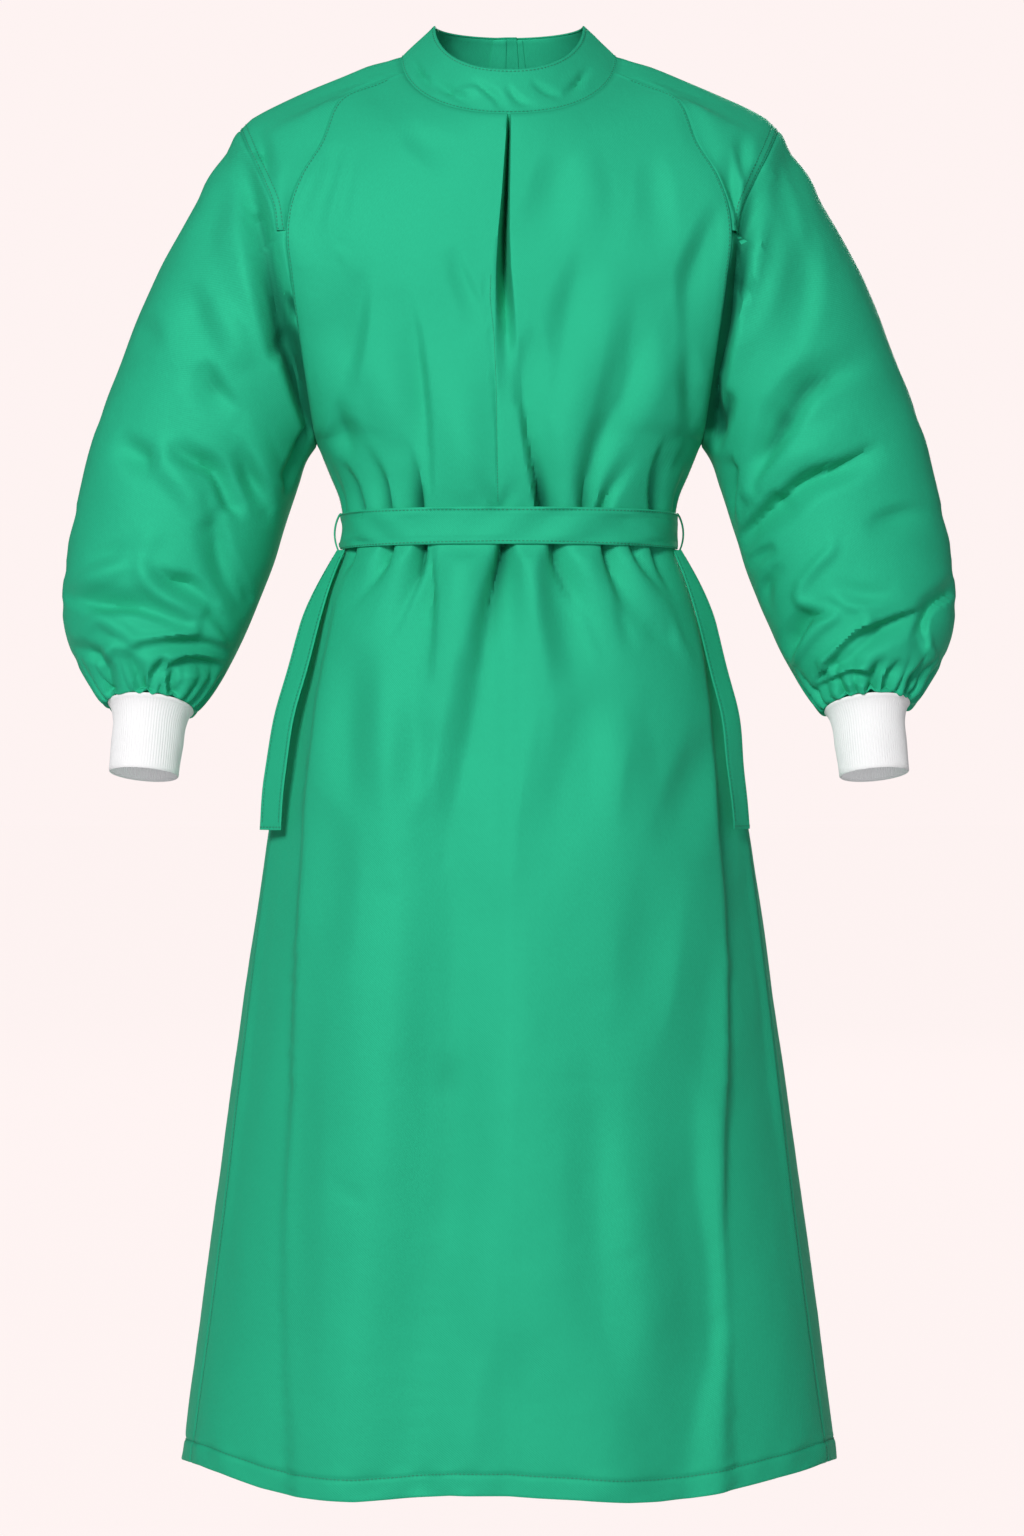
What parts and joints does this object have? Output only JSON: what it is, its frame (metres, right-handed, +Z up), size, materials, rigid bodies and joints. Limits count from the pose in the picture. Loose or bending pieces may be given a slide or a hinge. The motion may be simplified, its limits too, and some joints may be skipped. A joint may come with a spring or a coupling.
{
  "type": "surgical gown",
  "caption": "Long reusable surgical gown in plain cloth with a stand collar, an inverted front pleat, raglan seams, full gathered sleeves, ribbed knit cuffs, a front belt and side ties.",
  "frame": {"origin": "The middle of the neck, level with the sides of the collar's lower edge, where a wearer or a hanger carries the gown.", "axes": "+X is the wearer's left, +Y the wearer's back (the front of the gown faces -Y), +Z up."},
  "size_m": [0.774, 0.3699, 1.2464],
  "materials": {
    "green_cloth": "smooth fine twill with a soft sheen",
    "white_knit": "matt fine rib knit"
  },
  "bodies": {
    "root": {"front": "green_cloth", "back_left": "green_cloth", "back_right": "green_cloth", "yoke_left": "green_cloth", "yoke_right": "green_cloth", "sleeve_left": "green_cloth", "sleeve_right": "green_cloth", "collar": "green_cloth", "neck_tab_left": "green_cloth", "neck_tab_right": "green_cloth", "belt": "green_cloth", "belt_loop_left": "green_cloth", "belt_loop_right": "green_cloth", "tie_left": "green_cloth", "tie_right": "green_cloth", "cuff_left": "white_knit", "cuff_right": "white_knit"}
  },
  "joints": []
}
